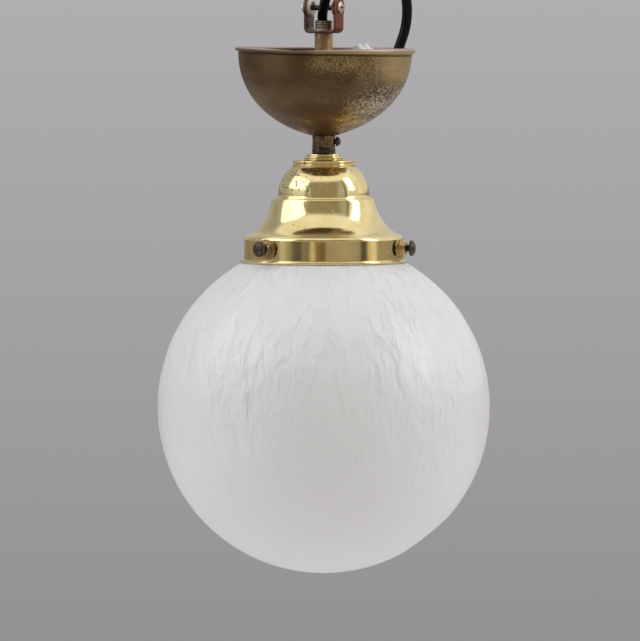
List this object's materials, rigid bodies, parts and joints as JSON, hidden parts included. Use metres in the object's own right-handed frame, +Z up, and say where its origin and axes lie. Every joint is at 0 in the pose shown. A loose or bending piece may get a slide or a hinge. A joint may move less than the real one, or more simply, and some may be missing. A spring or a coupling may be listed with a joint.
{
  "type": "ceiling lamp",
  "caption": "Hanging globe ceiling lamp: stirrup and stem, sliding brass cup, spun brass gallery and frosted glass globe held by thumbscrews.",
  "frame": {"origin": "middle of the cross bolt between the stirrup's ears, where the ceiling hook bears, on the axis of the stem", "axes": "+Z up along the stem, -Y towards the viewer of the picture, +X to the right"},
  "size_m": [0.1846, 0.1846, 0.3442],
  "materials": {
    "coppered_steel": "worn satin",
    "nickel": "dull plated",
    "porcelain": "glazed ceramic",
    "aged_brass": "patinated",
    "mottled_brass": "speckled patina",
    "polished_brass": "polished, small pits",
    "contact_brass": "bare",
    "dark_steel": "blackened",
    "dark_bronze": "browned",
    "frosted_glass": "frosted, hammered relief",
    "bakelite": "gloss",
    "flex_sheath": "gloss",
    "core_brown": "gloss",
    "core_blue": "gloss",
    "white_plastic": "satin"
  },
  "bodies": {
    "frame": {"stirrup": "coppered_steel", "cross_bolt": "nickel", "cross_bolt_nut": "nickel", "ear_bushes": "porcelain", "stem": "aged_brass", "locknut": "dark_steel", "gallery_cap": "polished_brass", "gallery": "polished_brass", "gallery_washer": "aged_brass", "gallery_nut": "aged_brass", "screw_bosses": "aged_brass", "globe": "frosted_glass", "holder_cap": "bakelite", "holder_lock_screw": "dark_steel", "holder_sleeve": "bakelite", "holder_insert": "porcelain", "screw_shell": "contact_brass", "centre_contact": "contact_brass", "side_contact": "contact_brass", "holder_terminals": "contact_brass", "stem_flex": "flex_sheath", "live_core": "core_brown", "neutral_core": "core_blue", "flex_loop": "flex_sheath"},
    "collar": {"slip_collar": "aged_brass", "flex_coil": "flex_sheath", "flex_end_cores": "core_brown", "terminal_block": "white_plastic", "block_tubes": "contact_brass", "block_screws": "nickel"},
    "canopy": {"canopy_cup": "mottled_brass"},
    "collar_screw": {"collar_screw": "dark_steel"},
    "thumbscrew_left": {"thumbscrew_left": "dark_bronze"},
    "thumbscrew_right": {"thumbscrew_right": "dark_bronze"},
    "thumbscrew_rear": {"thumbscrew_rear": "dark_bronze"}
  },
  "joints": [
    {"name": "canopy_slide", "type": "slide", "parent": "frame", "child": "collar", "axis": [0, 0, 1], "range_m": [0, 0.05], "deforming": ["flex_loop"]},
    {"name": "canopy_turn", "type": "hinge", "parent": "collar", "child": "canopy", "pos_m": [0, 0, -0.0709], "axis": [0, 0, 1], "continuous": true},
    {"name": "collar_screw_travel", "type": "slide", "parent": "collar", "child": "collar_screw", "axis": [1, 0, 0], "range_m": [0, 0.0015]},
    {"name": "left_screw_travel", "type": "slide", "parent": "frame", "child": "thumbscrew_left", "axis": [-0.7071, -0.7071, 0], "range_m": [0, 0.006]},
    {"name": "right_screw_travel", "type": "slide", "parent": "frame", "child": "thumbscrew_right", "axis": [0.9659, -0.2588, 0], "range_m": [0, 0.006]},
    {"name": "rear_screw_travel", "type": "slide", "parent": "frame", "child": "thumbscrew_rear", "axis": [-0.2588, 0.9659, 0], "range_m": [0, 0.006]}
  ]
}
